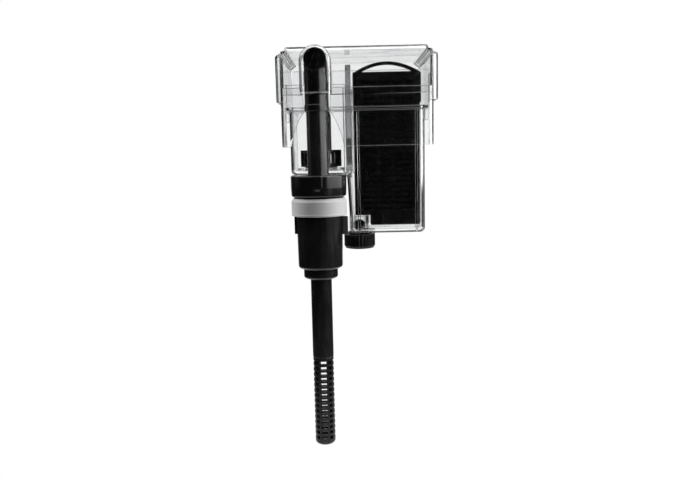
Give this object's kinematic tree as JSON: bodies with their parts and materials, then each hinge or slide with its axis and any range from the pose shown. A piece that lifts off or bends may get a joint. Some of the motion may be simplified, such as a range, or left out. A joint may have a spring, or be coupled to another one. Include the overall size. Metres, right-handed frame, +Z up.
{
  "type": "hang on back aquarium filter",
  "caption": "Clear hang-on filter box with lid, slotted media cartridge and drain knob, fed over the tank rim by an in-line pump with a long slotted intake.",
  "frame": {"origin": "middle of the bridge's underside, where it sits on the rim of the tank glass", "axes": "+X to the right seen from the tank, +Y away from the tank, +Z up"},
  "size_m": [0.128, 0.1168, 0.3229],
  "materials": {
    "clear_plastic": "clear moulded styrene, polished",
    "smoke_plastic": "translucent grey plate",
    "black_gloss": "moulded black ABS, gloss",
    "black_satin": "moulded black ABS, satin",
    "white_plastic": "moulded white ABS, satin gloss",
    "rubber": "black nitrile rubber",
    "foam": "open-cell filter foam",
    "carbon": "carbon-loaded fibre pad",
    "ceramic": "sintered ceramic",
    "ferrite": "sintered ferrite",
    "core_steel": "varnished laminations",
    "copper": "enamelled winding"
  },
  "bodies": {
    "container": {"filter_container": "clear_plastic", "chamber_divider": "smoke_plastic", "elbow_pipe": "black_gloss", "inner_downpipe": "black_gloss", "inlet_diffuser": "black_satin"},
    "lid": {"lid": "clear_plastic"},
    "cartridge": {"cartridge_frame": "black_gloss", "cartridge_back": "black_gloss", "filter_foam": "foam", "carbon_pad": "carbon"},
    "drain_seal": {"drain_seal": "rubber"},
    "drain_knob": {"drain_knob": "black_satin"},
    "riser": {"riser_tube": "black_gloss", "riser_seal": "rubber"},
    "pump": {"pump_head": "black_gloss", "head_seal": "rubber", "impeller_cover": "black_satin", "upper_bush": "rubber", "motor_housing": "black_satin", "motor_can": "black_satin", "rotor_well": "black_satin", "stator_core": "core_steel", "stator_coil": "copper", "rotor_shaft": "ceramic", "lower_bush": "rubber", "cable_gland": "rubber", "intake_collar": "black_satin", "collar_seal": "rubber"},
    "flow_ring": {"flow_ring": "white_plastic"},
    "rotor": {"rotor_magnet": "ferrite", "impeller": "black_satin"},
    "intake": {"intake_tube": "black_satin"},
    "strainer": {"strainer": "black_satin"}
  },
  "joints": [
    {"name": "lid_lift", "type": "slide", "parent": "container", "child": "lid", "axis": [0, 0, 1], "range_m": [0, 0.15]},
    {"name": "cartridge_lift", "type": "slide", "parent": "container", "child": "cartridge", "axis": [0, 0, 1], "range_m": [0, 0.139]},
    {"name": "drain_drop", "type": "slide", "parent": "container", "child": "drain_seal", "axis": [0, 0, -1], "range_m": [0, 0.0075]},
    {"name": "drain_turn", "type": "hinge", "parent": "drain_seal", "child": "drain_knob", "pos_m": [0.0009, 0.024, -0.11], "axis": [0, 0, 1], "range_deg": [0, 1080]},
    {"name": "riser_slide", "type": "slide", "parent": "container", "child": "riser", "axis": [0, 0, 1], "range_m": [-0.01, 0.014]},
    {"name": "pump_swivel", "type": "hinge", "parent": "riser", "child": "pump", "pos_m": [-0.032, -0.032, -0.06], "axis": [0, 0, 1], "range_deg": [-90, 90]},
    {"name": "flow_ring_turn", "type": "hinge", "parent": "pump", "child": "flow_ring", "pos_m": [-0.032, -0.032, -0.077], "axis": [0, 0, 1], "range_deg": [0, 90]},
    {"name": "rotor_spin", "type": "hinge", "parent": "pump", "child": "rotor", "pos_m": [-0.032, -0.032, -0.09], "axis": [0, 0, 1], "continuous": true},
    {"name": "intake_pull", "type": "slide", "parent": "pump", "child": "intake", "axis": [0, 0, -1], "range_m": [0, 0.006]},
    {"name": "strainer_pull", "type": "slide", "parent": "intake", "child": "strainer", "axis": [0, 0, -1], "range_m": [0, 0.008]}
  ],
  "couplings": [
    {"joint": "cartridge_lift", "follows": "lid_lift", "ratio": 0.9},
    {"joint": "drain_drop", "follows": "drain_turn", "m_per_rad": 0.00039789}
  ]
}
